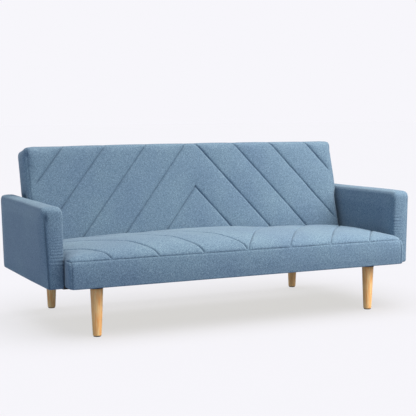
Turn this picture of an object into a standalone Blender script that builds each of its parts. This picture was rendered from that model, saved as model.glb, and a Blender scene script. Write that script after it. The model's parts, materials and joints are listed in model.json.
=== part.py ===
"""Futon sofa bed with a click-clack backrest: sprung seat, folding back, square arms, round legs.

Metres, +Z up. +X runs along the sofa's length, +Y points to its back, and the origin is on the floor
under the middle of the sofa. Left is -X and right is +X.
"""

import math

import bpy
from mathutils import Matrix, Vector

# Overall sizes
LENGTH = 1.960  # over both arms
DEPTH = 0.885  # seat front to the arms' rear
GAP = 0.0003  # left between pieces that touch

# Arms
ARM_THICK = 0.080
ARM_BOTTOM, ARM_TOP = 0.230, 0.610
ARM_FRONT, ARM_REAR = -0.352, DEPTH / 2
ARM_BAND = 0.012  # thickness of the padded band round the arm's edge
ARM_PAD = 0.0305  # thickness of each side pad
ARM_CORNER = 0.032

# Seat
CUSHION_HALF = 0.888  # half length of seat and back, 12 mm short of the arms for the hinge plates
SEAT_FRONT, SEAT_REAR = -DEPTH / 2, 0.1335
SEAT_BOTTOM, SEAT_SEAM, SEAT_TOP = 0.237, 0.364, 0.392
SEAT_CROWN = 0.023  # the middle of the seat stands this much higher
SEAT_NOSE = 0.026
RAIL_BOTTOM, RAIL_TOP = 0.2445, 0.345
RAIL_THICK = 0.035
BAND = 0.012

# Backrest, drawn upright and then leaned: u runs up the back and v to the rear, from the hinge
LEAN = math.radians(15.0)
HINGE = Vector((0.0, 0.1876, 0.347))
BACK_FACE, BACK_REAR = -0.045, 0.100  # v of the front and rear faces
BACK_LOW, BACK_HIGH = -0.035, 0.521  # u of the lower and upper edges
BACK_CROWN = 0.008
BACK_PAD = 0.052
BACK_RAIL = 0.045  # height of the top and bottom rails

# Base frame and legs
TUBE_WIDE, TUBE_HIGH, TUBE_WALL = 0.025, 0.016, 0.002
TUBE_TOP = 0.2440
LEG_FRONT_X, LEG_REAR_X = 0.741, 0.728
LEG_FRONT_Y, LEG_REAR_Y = ARM_FRONT, 0.410
LEG_TOP_RADIUS, LEG_FOOT_RADIUS = 0.030, 0.0205
PLATE_THICK, PLATE_HALF = 0.003, 0.023
GLIDE_HIGH = 0.004
STUD_RADIUS = 0.004

# Click-clack hinges
HINGE_SHEET = 0.0025
PIN_RADIUS = 0.006
TOOTH_TIP, TOOTH_ROOT, TOOTH_COUNT = 0.036, 0.0318, 10
TOOTH_PITCH = math.radians(10.0)
PAWL_AT = (-0.058, -0.0215)  # pawl pivot from the hinge, along +Y and +Z

for old in list(bpy.data.objects):
    bpy.data.objects.remove(old, do_unlink=True)


def material(name, colour, roughness, metallic=0.0):
    made = bpy.data.materials.new(name)
    made.use_nodes = True
    shader = made.node_tree.nodes["Principled BSDF"]
    shader.inputs["Base Color"].default_value = (*colour, 1.0)
    shader.inputs["Roughness"].default_value = roughness
    shader.inputs["Metallic"].default_value = metallic
    return made


FABRIC = material("blue_grey_fabric", (0.16, 0.25, 0.37), 0.9)
LINING = material("black_lining", (0.02, 0.02, 0.022), 0.95)
WEBBING = material("elastic_webbing", (0.05, 0.05, 0.055), 0.85)
FRAME_WOOD = material("frame_pine", (0.55, 0.38, 0.2), 0.7)
LEG_WOOD = material("leg_beech", (0.68, 0.4, 0.14), 0.45)
BASE_STEEL = material("base_painted_steel", (0.03, 0.03, 0.032), 0.5, 0.4)
ZINC_STEEL = material("zinc_plated_steel", (0.6, 0.6, 0.6), 0.35, 1.0)
SPRING_STEEL = material("spring_steel", (0.2, 0.2, 0.21), 0.4, 1.0)
NYLON = material("black_nylon", (0.02, 0.02, 0.02), 0.5)


def add_mesh(name, points, faces, finish):
    """A new object from corner points and faces."""
    mesh = bpy.data.meshes.new(name)
    mesh.from_pydata([tuple(p) for p in points], [], faces)
    mesh.validate()
    made = bpy.data.objects.new(name, mesh)
    mesh.materials.append(finish)
    bpy.context.collection.objects.link(made)
    return made


def stacked(name, rings, finish, smooth_below=None):
    """A closed solid skinned over rings of equal point counts, with flat ends."""
    count = len(rings[0])
    points = [p for ring in rings for p in ring]
    faces = []
    for i in range(len(rings) - 1):
        a, b = i * count, (i + 1) * count
        faces += [(a + j, a + (j + 1) % count, b + (j + 1) % count, b + j) for j in range(count)]
    faces.append(tuple(reversed(range(count))))
    faces.append(tuple(range((len(rings) - 1) * count, len(rings) * count)))
    made = add_mesh(name, points, faces, finish)
    turn_out(made.data)
    if smooth_below:
        made.data.shade_smooth()
        made.data.set_sharp_from_angle(angle=smooth_below)
    return made


def turn_out(mesh):
    """Reverses every face of a closed mesh whose faces point in."""
    six_volumes = 0.0
    mesh.calc_loop_triangles()
    for corner in mesh.loop_triangles:
        a, b, c = (mesh.vertices[i].co for i in corner.vertices)
        six_volumes += a.dot(b.cross(c))
    if six_volumes < 0:
        mesh.flip_normals()


def prism(name, outline, x_low, x_high, finish):
    """An outline of (y, z) points given a length along X."""
    rings = [[(x, y, z) for y, z in outline] for x in (x_low, x_high)]
    return stacked(name, rings, finish)


def box(name, low, high, finish):
    outline = [(low[1], low[2]), (high[1], low[2]), (high[1], high[2]), (low[1], high[2])]
    return prism(name, outline, low[0], high[0], finish)


def turned(name, profile, centre, axis, finish, sides=24):
    """A round solid: (radius, distance along the axis) pairs turned about "X" or "Z"."""
    rings = []
    for radius, along in profile:
        ring = []
        for i in range(sides):
            angle = 2 * math.pi * i / sides
            a, b = radius * math.cos(angle), radius * math.sin(angle)
            offset = (along, a, b) if axis == "X" else (a, b, along)
            ring.append(tuple(centre[k] + offset[k] for k in range(3)))
        rings.append(ring)
    return stacked(name, rings, finish, smooth_below=math.radians(40))


def boolean(target, tool, operation):
    """Unites or cuts two objects and leaves one mesh in the target."""
    step = target.modifiers.new(operation.lower(), "BOOLEAN")
    step.operation = operation
    step.solver = "EXACT"
    step.object = tool
    graph = bpy.context.evaluated_depsgraph_get()
    graph.update()
    mesh = bpy.data.meshes.new_from_object(target.evaluated_get(graph))
    target.modifiers.remove(step)
    target.data = mesh
    bpy.data.objects.remove(tool, do_unlink=True)


def arc(centre, radius, start, end, steps):
    """Points on a circle from one angle to another, in degrees."""
    angles = [math.radians(start + (end - start) * i / steps) for i in range(steps + 1)]
    return [(centre[0] + radius * math.cos(a), centre[1] + radius * math.sin(a)) for a in angles]


def rounded(low, high, radii, steps=4):
    """A rectangle with its own radius at each corner: low-low, high-low, high-high, low-high."""
    (a0, b0), (a1, b1) = low, high
    signs = ((1, 1), (-1, 1), (-1, -1), (1, -1))
    corners = ((a0, b0), (a1, b0), (a1, b1), (a0, b1))
    outline = []
    for i, ((a, b), (sa, sb), radius) in enumerate(zip(corners, signs, radii)):
        if radius:
            centre = (a + sa * radius, b + sb * radius)
            outline += arc(centre, radius, 180 + 90 * i, 270 + 90 * i, steps)
        else:
            outline.append((a, b))
    return outline


def hull(circles, steps=10):
    """The tight outline round several (y, z, radius) circles."""
    points = []
    for y, z, radius in circles:
        points += arc((y, z), radius, 0, 360, steps * 2)[:-1]
    points = sorted(set(points))

    def chain(ordered):
        kept = []
        for p in ordered:
            while len(kept) > 1 and turn(kept[-2], kept[-1], p) <= 1e-12:
                kept.pop()
            kept.append(p)
        return kept[:-1]

    return chain(points) + chain(reversed(points))


def turn(a, b, c):
    return (b[0] - a[0]) * (c[1] - a[1]) - (b[1] - a[1]) * (c[0] - a[0])


def leaned(u, v):
    """The (y, z) place of a point u up the back and v behind the hinge."""
    y = HINGE.y + u * math.sin(LEAN) + v * math.cos(LEAN)
    z = HINGE.z + u * math.cos(LEAN) - v * math.sin(LEAN)
    return y, z


def back_prism(name, outline, x_low, x_high, finish):
    """A prism drawn in the backrest's own (v, u) plane."""
    made = prism(name, [leaned(u, v) for v, u in outline], x_low, x_high, finish)
    made.data.transform(Matrix.Translation(-HINGE))
    made.location = HINGE
    return made


def back_box(name, x, v, u, finish):
    outline = [(v[0], u[0]), (v[1], u[0]), (v[1], u[1]), (v[0], u[1])]
    return back_prism(name, outline, x[0], x[1], finish)


# Seat -------------------------------------------------------------------------------------------


def crown(x, rise):
    """The extra height of a padded face, greatest in the middle of the sofa."""
    return rise * (1 - (abs(x) / CUSHION_HALF) ** 2.2)


def seat_section(x):
    """(y, z) outline of the seat pad: flat below, a round nose in front, crowned on top."""
    top = SEAT_TOP + crown(x, SEAT_CROWN)
    low = SEAT_SEAM + GAP
    nose = [(SEAT_FRONT, low)]
    for angle in (30, 60, 90):
        turned_to = math.radians(angle)
        y = SEAT_FRONT + SEAT_NOSE * 1.9 * (1 - math.cos(turned_to))
        nose.append((y, low + (top - 0.006 - low) * math.sin(turned_to)))
    rest = [(-0.30, top), (0.0, top + 0.001), (SEAT_REAR - 0.05, top), (SEAT_REAR, top - 0.012)]
    under = [(SEAT_REAR, RAIL_TOP + GAP), (SEAT_FRONT + BAND + GAP, RAIL_TOP + GAP)]
    return nose + rest + under + [(SEAT_FRONT + BAND + GAP, low)]


stations = [CUSHION_HALF * s for s in (-1, -0.85, -0.6, -0.3, 0, 0.3, 0.6, 0.85, 1)]
stacked("seat_pad", [[(x, y, z) for y, z in seat_section(x)] for x in stations], FABRIC)

band_outline = rounded((SEAT_FRONT, SEAT_BOTTOM), (SEAT_FRONT + BAND, SEAT_SEAM), (0.006, 0, 0, 0))
prism("seat_front_band", band_outline, -CUSHION_HALF, CUSHION_HALF, FABRIC)

side_out = CUSHION_HALF
side_in = CUSHION_HALF - BAND
rail_front = SEAT_FRONT + BAND + GAP
rail_rear = SEAT_REAR - GAP
for side, name in ((-1, "left"), (1, "right")):
    ends = sorted((side * side_in, side * side_out))
    box(
        f"seat_side_band_{name}",
        (ends[0], rail_front, RAIL_BOTTOM),
        (ends[1], rail_rear, RAIL_TOP),
        FABRIC,
    )
    ends = sorted((side * (side_in - GAP - RAIL_THICK), side * (side_in - GAP)))
    box(
        f"seat_side_rail_{name}",
        (ends[0], rail_front + 0.012, RAIL_BOTTOM),
        (ends[1], rail_rear, RAIL_TOP),
        FRAME_WOOD,
    )

rail_end = side_in - 2 * GAP - RAIL_THICK
for name, y in (("front", rail_front), ("rear", rail_rear - RAIL_THICK)):
    low = (-rail_end, y, RAIL_BOTTOM)
    high = (rail_end, y + RAIL_THICK, RAIL_TOP - 0.006)
    box(f"seat_{name}_rail", low, high, FRAME_WOOD)

cover_low = (-rail_end, rail_front + RAIL_THICK + GAP, RAIL_BOTTOM)
cover_high = (rail_end, rail_rear - RAIL_THICK - GAP, RAIL_BOTTOM + 0.0012)
box("seat_dust_cover", cover_low, cover_high, LINING)

SPRING_WIRE, SPRING_WAVES, SPRING_SWING = 0.0018, 9, 0.024


def sinuous_spring(name, x):
    """A zig-zag wire laid over the rails from front to rear, bowed up a little between them."""
    curve = bpy.data.curves.new(name, "CURVE")
    curve.dimensions = "3D"
    curve.bevel_depth = SPRING_WIRE
    curve.bevel_resolution = 1
    curve.use_fill_caps = True
    front = rail_front + RAIL_THICK / 2
    rear = rail_rear - RAIL_THICK / 2
    steps = SPRING_WAVES * 6
    spline = curve.splines.new("POLY")
    spline.points.add(steps)
    for i in range(steps + 1):
        t = i / steps
        sweep = SPRING_SWING * math.sin(2 * math.pi * SPRING_WAVES * t)
        height = RAIL_TOP - 0.006 + SPRING_WIRE + GAP
        spline.points[i].co = (x + sweep, front + (rear - front) * t, height, 1)
    made = bpy.data.objects.new(name, curve)
    curve.materials.append(SPRING_STEEL)
    bpy.context.collection.objects.link(made)


for i, x in enumerate((-0.63, -0.21, 0.21, 0.63)):
    sinuous_spring(f"seat_spring_{i + 1}", x)

# Backrest ---------------------------------------------------------------------------------------

back_top_inner = BACK_HIGH - BAND
pad_back = BACK_FACE + BACK_PAD
rear_board = BACK_REAR - BAND


def back_section(x):
    """(v, u) outline of the back pad: crowned in front, rounded at its upper and lower edges."""
    out = crown(x, BACK_CROWN) * 0.9
    lower = arc((BACK_FACE + 0.018, BACK_LOW + 0.018), 0.018, 270, 180, 3)
    upper = arc((BACK_FACE + 0.022, BACK_HIGH - 0.022), 0.022, 180, 100, 3)
    middle = [(BACK_FACE - out, 0.12), (BACK_FACE - out - 0.001, 0.25), (BACK_FACE - out, 0.4)]
    return [(pad_back, BACK_LOW)] + lower + middle + upper + [(pad_back, BACK_HIGH - 0.0015)]


rings = []
for x in stations:
    rings.append([(x, *leaned(u, v)) for v, u in back_section(x)])
back_pad = stacked("back_pad", rings, FABRIC)

band_v = (pad_back + GAP, BACK_REAR)
band_outline = rounded((band_v[0], back_top_inner), (band_v[1], BACK_HIGH), (0, 0, 0.011, 0))
back_prism("back_top_band", band_outline, -CUSHION_HALF, CUSHION_HALF, FABRIC)

rail_v = (pad_back + 0.004, rear_board - GAP)
foot = rounded((rail_v[0], BACK_LOW), (rail_v[1], BACK_LOW + BACK_RAIL), (0, 0.018, 0, 0))
back_prism("back_bottom_rail", foot, -rail_end, rail_end, FRAME_WOOD)
rail_top = back_top_inner - GAP
back_box(
    "back_top_rail", (-rail_end, rail_end), rail_v, (rail_top - BACK_RAIL, rail_top), FRAME_WOOD
)
panel_u = (BACK_LOW + 0.020, back_top_inner - GAP)
panel = rounded((rear_board, panel_u[0]), (BACK_REAR, panel_u[1]), (0, 0.010, 0, 0))
back_prism("back_rear_panel", panel, -side_in + GAP, side_in - GAP, FABRIC)

for side, name in ((-1, "left"), (1, "right")):
    ends = sorted((side * side_in, side * side_out))
    edge = rounded(
        (pad_back + GAP, BACK_LOW), (BACK_REAR, back_top_inner - GAP), (0, 0.030, 0, 0)
    )
    back_prism(f"back_side_band_{name}", edge, ends[0], ends[1], FABRIC)
    ends = sorted((side * (rail_end + GAP), side * (side_in - GAP)))
    edge = rounded((rail_v[0], BACK_LOW), (rail_v[1], rail_top), (0, 0.018, 0, 0))
    back_prism(f"back_side_rail_{name}", edge, ends[0], ends[1], FRAME_WOOD)

WEB_HALF = 0.035
for i, x in enumerate((-0.40, 0.40)):
    strap_v = (pad_back + 0.001, rail_v[0] - GAP)
    strap_u = (BACK_LOW + 0.008, rail_top - 0.008)
    back_box(f"back_web_{i + 1}", (x - WEB_HALF, x + WEB_HALF), strap_v, strap_u, WEBBING)

# Arms -------------------------------------------------------------------------------------------

arm_inner = LENGTH / 2 - ARM_THICK
arm_outer = LENGTH / 2
core_in, core_out = arm_inner + ARM_PAD + GAP, arm_outer - ARM_PAD - GAP
inside_front, inside_rear = ARM_FRONT + ARM_BAND + GAP, ARM_REAR - ARM_BAND - GAP
inside_top = ARM_TOP - ARM_BAND - GAP
inner_corner = ARM_CORNER - ARM_BAND
BOLT_RADIUS, BOLT_LONG = 0.004, 0.040
BOLT_SPOTS = (("front", -0.292, 0.285), ("rear", 0.410, 0.285))
BRACKET_IN, BRACKET_OUT = 0.8945, 0.8985


def arm_shape():
    low, high = (inside_front, ARM_BOTTOM), (inside_rear, inside_top)
    return rounded(low, high, (0, 0, inner_corner, inner_corner))


def arm_band_shape():
    """The band over the front, top and rear edges of an arm, as one open loop."""
    outer = rounded(
        (ARM_FRONT, ARM_BOTTOM), (ARM_REAR, ARM_TOP), (0, 0, ARM_CORNER, ARM_CORNER), 6
    )
    inner = rounded(
        (ARM_FRONT + ARM_BAND, ARM_BOTTOM),
        (ARM_REAR - ARM_BAND, ARM_TOP - ARM_BAND),
        (0, 0, inner_corner, inner_corner),
        6,
    )
    return outer[1:] + [outer[0]] + [inner[0]] + list(reversed(inner[1:]))


for side, name in ((-1, "left"), (1, "right")):
    ends = sorted((side * arm_inner, side * arm_outer))
    prism(f"arm_band_{name}", arm_band_shape(), ends[0], ends[1], FABRIC)
    inner_pad_ends = sorted((side * arm_inner, side * (core_in - GAP)))
    inner_pad = prism(f"arm_inner_pad_{name}", arm_shape(), *inner_pad_ends, FABRIC)
    outer_pad_ends = sorted((side * (core_out + GAP), side * arm_outer))
    prism(f"arm_outer_pad_{name}", arm_shape(), *outer_pad_ends, FABRIC)
    core_ends = sorted((side * core_in, side * core_out))
    core = prism(f"arm_core_{name}", arm_shape(), *core_ends, FRAME_WOOD)
    for end, y, z in BOLT_SPOTS:
        tip = BRACKET_IN + BOLT_LONG + 0.005
        clear = BOLT_RADIUS + GAP
        for target in (inner_pad, core):
            reach = [(clear, side * (arm_inner - 0.01)), (clear, side * (tip + 0.001))]
            drill = turned("drill", reach, (0, y, z), "X", ZINC_STEEL, 12)
            boolean(target, drill, "DIFFERENCE")
        head = BRACKET_IN - GAP
        profile = [
            (0.0075, side * (head - 0.005)),
            (0.0075, side * head),
            (BOLT_RADIUS, side * head),
            (BOLT_RADIUS, side * tip),
        ]
        turned(f"arm_bolt_{end}_{name}", profile, (0, y, z), "X", ZINC_STEEL, 12)

# Base frame and legs ----------------------------------------------------------------------------

tube_low = TUBE_TOP - TUBE_HIGH
FRONT_TUBE_Y = LEG_FRONT_Y + 0.022
REAR_TUBE_Y = LEG_REAR_Y


def square_tube(name, low, high, along):
    """A rectangular tube with open ends, along X (0) or Y (1)."""
    tube = box(name, low, high, BASE_STEEL)
    inner_low, inner_high = list(low), list(high)
    for k in range(3):
        inner_low[k] += -0.01 if k == along else TUBE_WALL
        inner_high[k] -= -0.01 if k == along else TUBE_WALL
    boolean(tube, box("bore", inner_low, inner_high, BASE_STEEL), "DIFFERENCE")
    return tube


def cross_tube(name, y, leg, bracket_y, bolt):
    """A tube across the sofa with two leg plates below it and a bracket for an arm at each end."""
    half = TUBE_WIDE / 2
    reach = BRACKET_IN + 0.001
    tube = square_tube(name, (-reach, y - half, tube_low), (reach, y + half, TUBE_TOP), 0)
    leg_x, leg_y = leg
    for side in (-1, 1):
        x = side * leg_x
        rear = max(leg_y + PLATE_HALF, y + half)
        low = (x - PLATE_HALF, leg_y - PLATE_HALF, tube_low - PLATE_THICK)
        high = (x + PLATE_HALF, rear, tube_low + 0.0005)
        plate = box("plate", low, high, BASE_STEEL)
        hole = [(STUD_RADIUS + GAP, -0.02), (STUD_RADIUS + GAP, 0.02)]
        boolean(tube, plate, "UNION")
        drill = turned("drill", hole, (x, leg_y, tube_low - 0.008), "Z", BASE_STEEL, 12)
        boolean(tube, drill, "DIFFERENCE")
        ends = sorted((side * BRACKET_IN, side * BRACKET_OUT))
        low, high = (ends[0], bracket_y[0], tube_low), (ends[1], bracket_y[1], 0.310)
        boolean(tube, box("bracket", low, high, BASE_STEEL), "UNION")
        reach_x = [(BOLT_RADIUS + GAP, side * 0.88), (BOLT_RADIUS + GAP, side * 0.91)]
        drill = turned("drill", reach_x, (0, bolt[0], bolt[1]), "X", BASE_STEEL, 12)
        boolean(tube, drill, "DIFFERENCE")


LEGS = (("front", (LEG_FRONT_X, LEG_FRONT_Y)), ("rear", (LEG_REAR_X, LEG_REAR_Y)))
cross_tube("base_front_tube", FRONT_TUBE_Y, LEGS[0][1], (-0.331, -0.272), BOLT_SPOTS[0][1:])
cross_tube("base_rear_tube", REAR_TUBE_Y, LEGS[1][1], (0.385, 0.437), BOLT_SPOTS[1][1:])
for side, name in ((-1, "left"), (1, "right")):
    x = side * 0.735
    half = TUBE_WIDE / 2
    low = (x - half, FRONT_TUBE_Y + half + GAP, tube_low + 0.001)
    high = (x + half, REAR_TUBE_Y - half - GAP, TUBE_TOP)
    square_tube(f"base_side_tube_{name}", low, high, 1)

leg_top = tube_low - PLATE_THICK - GAP
STUD_TOP = tube_low + 0.012
STUD_LOW = leg_top - 0.045
for end, (x, y) in LEGS:
    for side, name in ((-1, "left"), (1, "right")):
        spot = (side * x, y, 0.0)
        edge = 0.002
        profile = [
            (LEG_FOOT_RADIUS - edge, GLIDE_HIGH + GAP),
            (LEG_FOOT_RADIUS, GLIDE_HIGH + GAP + edge),
            (LEG_TOP_RADIUS, leg_top - edge),
            (LEG_TOP_RADIUS - edge, leg_top),
        ]
        leg = turned(f"leg_{end}_{name}", profile, spot, "Z", LEG_WOOD, 28)
        bore = [(STUD_RADIUS + GAP, STUD_LOW - 0.001), (STUD_RADIUS + GAP, leg_top + 0.01)]
        boolean(leg, turned("bore", bore, spot, "Z", LEG_WOOD, 12), "DIFFERENCE")
        stud = [(STUD_RADIUS, STUD_LOW), (STUD_RADIUS, STUD_TOP)]
        turned(f"leg_stud_{end}_{name}", stud, spot, "Z", ZINC_STEEL, 12)
        foot = [(0.0160, 0.0), (0.0175, 0.0012), (0.0175, GLIDE_HIGH)]
        turned(f"glide_{end}_{name}", foot, spot, "Z", NYLON, 20)

# Click-clack hinges -----------------------------------------------------------------------------

SEAT_PLATE_X = CUSHION_HALF + 0.0005
BACK_PLATE_X = SEAT_PLATE_X + HINGE_SHEET + GAP
pawl_y, pawl_z = HINGE.y + PAWL_AT[0], HINGE.z + PAWL_AT[1]


def ratchet_outline():
    """The hinge disc with saw teeth on its front and lower side."""
    disc = []
    first = math.radians(150)
    for i in range(TOOTH_COUNT):
        start = first + i * TOOTH_PITCH
        for share, radius in ((0.02, TOOTH_ROOT), (0.75, TOOTH_TIP), (0.95, TOOTH_TIP)):
            angle = start + share * TOOTH_PITCH
            y, z = radius * math.cos(angle), radius * math.sin(angle)
            disc.append((HINGE.y + y, HINGE.z + z))
    last = math.degrees(first + TOOTH_COUNT * TOOTH_PITCH)
    return disc + arc((HINGE.y, HINGE.z), TOOTH_ROOT, last, 510, 16)[:-1]


def pawl_outline(play):
    """A pivot eye with a nose that reaches to just outside the tooth tips."""
    away = math.atan2(HINGE.z - pawl_z, HINGE.y - pawl_y)
    reach = math.hypot(*PAWL_AT) - TOOTH_TIP - play
    nose_y = pawl_y + (reach - 0.002) * math.cos(away)
    nose_z = pawl_z + (reach - 0.002) * math.sin(away)
    tail_y = pawl_y - 0.016 * math.cos(away + 0.7)
    tail_z = pawl_z - 0.016 * math.sin(away + 0.7)
    return hull([(pawl_y, pawl_z, 0.009), (nose_y, nose_z, 0.002), (tail_y, tail_z, 0.004)])


for side, name in ((-1, "left"), (1, "right")):
    inner, outer = SEAT_PLATE_X, SEAT_PLATE_X + HINGE_SHEET
    shape = hull(
        [
            (HINGE.y, HINGE.z, 0.020),
            (pawl_y, pawl_z, 0.014),
            (0.045, 0.325, 0.012),
            (0.045, 0.275, 0.012),
            (0.110, 0.270, 0.010),
        ]
    )
    ends = sorted((side * inner, side * outer))
    plate = prism(f"hinge_seat_plate_{name}", shape, ends[0], ends[1], ZINC_STEEL)
    stud = [(0.004, side * (outer - 0.001)), (0.004, side * (outer + HINGE_SHEET + 0.0016))]
    boolean(plate, turned("stud", stud, (0, pawl_y, pawl_z), "X", ZINC_STEEL, 16), "UNION")
    hole = [(PIN_RADIUS + GAP, side * (inner - 0.005)), (PIN_RADIUS + GAP, side * (outer + 0.02))]
    drill = turned("drill", hole, (0, HINGE.y, HINGE.z), "X", ZINC_STEEL, 20)
    boolean(plate, drill, "DIFFERENCE")

    inner, outer = BACK_PLATE_X, BACK_PLATE_X + HINGE_SHEET
    ends = sorted((side * inner, side * outer))
    plate = prism(f"hinge_back_plate_{name}", ratchet_outline(), ends[0], ends[1], ZINC_STEEL)
    lower, upper = leaned(0.012, 0.004), leaned(0.165, 0.020)
    arm = hull([(*lower, 0.016), (*upper, 0.013)])
    boolean(plate, prism("arm", arm, ends[0], ends[1], ZINC_STEEL), "UNION")
    spacer_low, spacer_high = leaned(0.075, 0.012), leaned(0.160, 0.020)
    spacer = hull([(*spacer_low, 0.010), (*spacer_high, 0.010)])
    pad_ends = sorted((side * SEAT_PLATE_X, side * (inner + 0.001)))
    boolean(plate, prism("spacer", spacer, *pad_ends, ZINC_STEEL), "UNION")
    drill = turned("drill", hole, (0, HINGE.y, HINGE.z), "X", ZINC_STEEL, 20)
    boolean(plate, drill, "DIFFERENCE")
    plate.data.transform(Matrix.Translation(-HINGE))
    plate.location = HINGE

    pin = [
        (PIN_RADIUS, side * SEAT_PLATE_X),
        (PIN_RADIUS, side * (outer + GAP)),
        (0.010, side * (outer + GAP)),
        (0.010, side * (outer + GAP + 0.0025)),
    ]
    turned(f"hinge_pin_{name}", pin, (0, HINGE.y, HINGE.z), "X", ZINC_STEEL, 20)

    ends = sorted((side * inner, side * outer))
    pawl = prism(f"pawl_{name}", pawl_outline(0.0005), ends[0], ends[1], ZINC_STEEL)
    eye = [(0.004 + GAP, side * (inner - 0.005)), (0.004 + GAP, side * (outer + 0.005))]
    boolean(pawl, turned("eye", eye, (0, pawl_y, pawl_z), "X", ZINC_STEEL, 16), "DIFFERENCE")
    pivot = Vector((0.0, pawl_y, pawl_z))
    pawl.data.transform(Matrix.Translation(-pivot))
    pawl.location = pivot
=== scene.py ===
"""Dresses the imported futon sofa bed: padded linen-look covers with sewn channels, turned beech legs,
black steel base, zinc hinges, and a plain studio. Metres, in the row frame."""

import json
import math

import bmesh
import bpy
import numpy as np
from mathutils import Matrix, Vector


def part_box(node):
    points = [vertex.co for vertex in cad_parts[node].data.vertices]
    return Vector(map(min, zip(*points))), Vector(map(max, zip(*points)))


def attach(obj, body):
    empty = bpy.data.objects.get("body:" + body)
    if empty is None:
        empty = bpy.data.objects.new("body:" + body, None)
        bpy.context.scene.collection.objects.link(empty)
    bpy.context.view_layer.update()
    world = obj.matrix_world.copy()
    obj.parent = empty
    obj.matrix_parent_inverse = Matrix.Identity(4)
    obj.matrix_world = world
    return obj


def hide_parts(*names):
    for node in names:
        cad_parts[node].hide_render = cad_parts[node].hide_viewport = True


bl_info = {
    "name": "Futon Sofa Bed Dressing",
    "version": (1, 0, 0),
    "blender": (4, 5, 0),
    "location": "View3D > Sidebar > Futon",
    "description": "Builds the upholstery, legs, finishes and studio of a click-clack sofa bed",
    "category": "Add Mesh",
}

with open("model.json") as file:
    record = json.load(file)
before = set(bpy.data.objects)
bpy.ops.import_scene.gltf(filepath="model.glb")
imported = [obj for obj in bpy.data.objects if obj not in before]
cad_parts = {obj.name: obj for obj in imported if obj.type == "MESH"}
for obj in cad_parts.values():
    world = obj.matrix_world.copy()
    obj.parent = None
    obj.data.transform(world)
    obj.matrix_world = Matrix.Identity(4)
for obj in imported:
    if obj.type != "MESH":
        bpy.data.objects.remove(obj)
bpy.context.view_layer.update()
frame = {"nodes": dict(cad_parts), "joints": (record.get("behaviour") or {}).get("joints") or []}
NODES = frame["nodes"]
MM = 0.001

# Frame facts


def joint(name):
    return next(j for j in frame["joints"] if j["name"] == name)


def corners(points):
    """Lowest and highest corner of the box round some points."""
    return [Vector([most(p[k] for p in points) for k in range(3)]) for most in (min, max)]


def span(*nodes):
    """Corners of several CAD nodes together."""
    return corners([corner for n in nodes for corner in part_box(n)])


RECLINE = joint("back_recline")
HINGE = Vector(RECLINE["pos_m"])
LEAN = math.radians(90 - RECLINE["range_deg"][1])
# The backrest's own axes: X along the sofa, Y to its rear face, Z up its height, from the hinge
LEANED = Matrix.Translation(HINGE) @ Matrix.Rotation(-LEAN, 4, "X")
UPRIGHT = LEANED.inverted()


def upright_span(*nodes):
    """Corners of the backrest's nodes, measured along its own axes."""
    return corners([UPRIGHT @ v.co for n in nodes for v in NODES[n].data.vertices])


SIDES = (("left", -1), ("right", 1))
SEAT_NODES = ("seat_pad", "seat_front_band", "seat_side_band_left", "seat_side_band_right")
BACK_NODES = (
    "back_pad",
    "back_top_band",
    "back_side_band_left",
    "back_side_band_right",
    "back_rear_panel",
)
SEAT_LOW, SEAT_HIGH = span(*SEAT_NODES)
BACK_LOW, BACK_HIGH = upright_span(*BACK_NODES)
PAD_LOW, PAD_HIGH = upright_span("back_pad")
BACK_FACE = upright_span("back_side_band_left")[0].y - (PAD_HIGH.y - PAD_LOW.y)


# Settings


def length(name, description, default):
    return bpy.props.FloatProperty(
        name=name, description=description, default=default, min=0.0, unit="LENGTH", precision=4
    )


def number(name, description, default):
    return bpy.props.FloatProperty(name=name, description=description, default=default)


def point(name, description, default):
    return bpy.props.FloatVectorProperty(
        name=name, description=description, default=default, unit="LENGTH"
    )


def turn(name, description, degrees):
    return bpy.props.FloatProperty(
        name=name, description=description, default=math.radians(degrees), unit="ROTATION"
    )


def hex_colour(name, description, default):
    return bpy.props.StringProperty(name=name, description=description, default=default)


class FutonPadding(bpy.types.PropertyGroup):
    """Sizes of the padding, channels and seams."""

    pitch: length("Channel pitch", "Distance between channels along the sofa", 0.226)
    channel_depth: length("Channel depth", "How far a sewn channel sinks in", 0.0065)
    channel_width: length("Channel width", "How far a channel's slope reaches to each side", 0.0044)
    # painted shade: how far the yarn is darkened towards the fold colour at the bottom of a sewn
    # channel
    painted_fold_darkening: number("Fold shade", "How much darker the bottom of a sewn fold is", 0.6)
    seam_depth: length("Seam depth", "How far a boxing seam sinks in", 0.0035)
    seam_width: length("Seam width", "How far a seam's slope reaches to each side", 0.0032)
    voxel: length("Voxel", "Face size of the long cushions before they are inflated", 0.010)
    arm_voxel: length("Arm voxel", "Face size of the arm pads before they are inflated", 0.008)
    pressure: number("Pressure", "Air pressure that swells a cover", 4.0)
    seat_crown: length("Seat crown", "How much higher the sewn seat stands in its middle", 0.052)
    seat_rise: length("Seat rise", "Most that the seat's cover may swell", 0.012)
    back_rise: length("Back rise", "Most that the backrest's cover may swell", 0.011)
    arm_rise: length("Arm rise", "Most that an arm's cover may swell", 0.006)
    wrinkle: length("Wrinkle", "Height of the soft unevenness of the covers", 0.0012)


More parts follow.
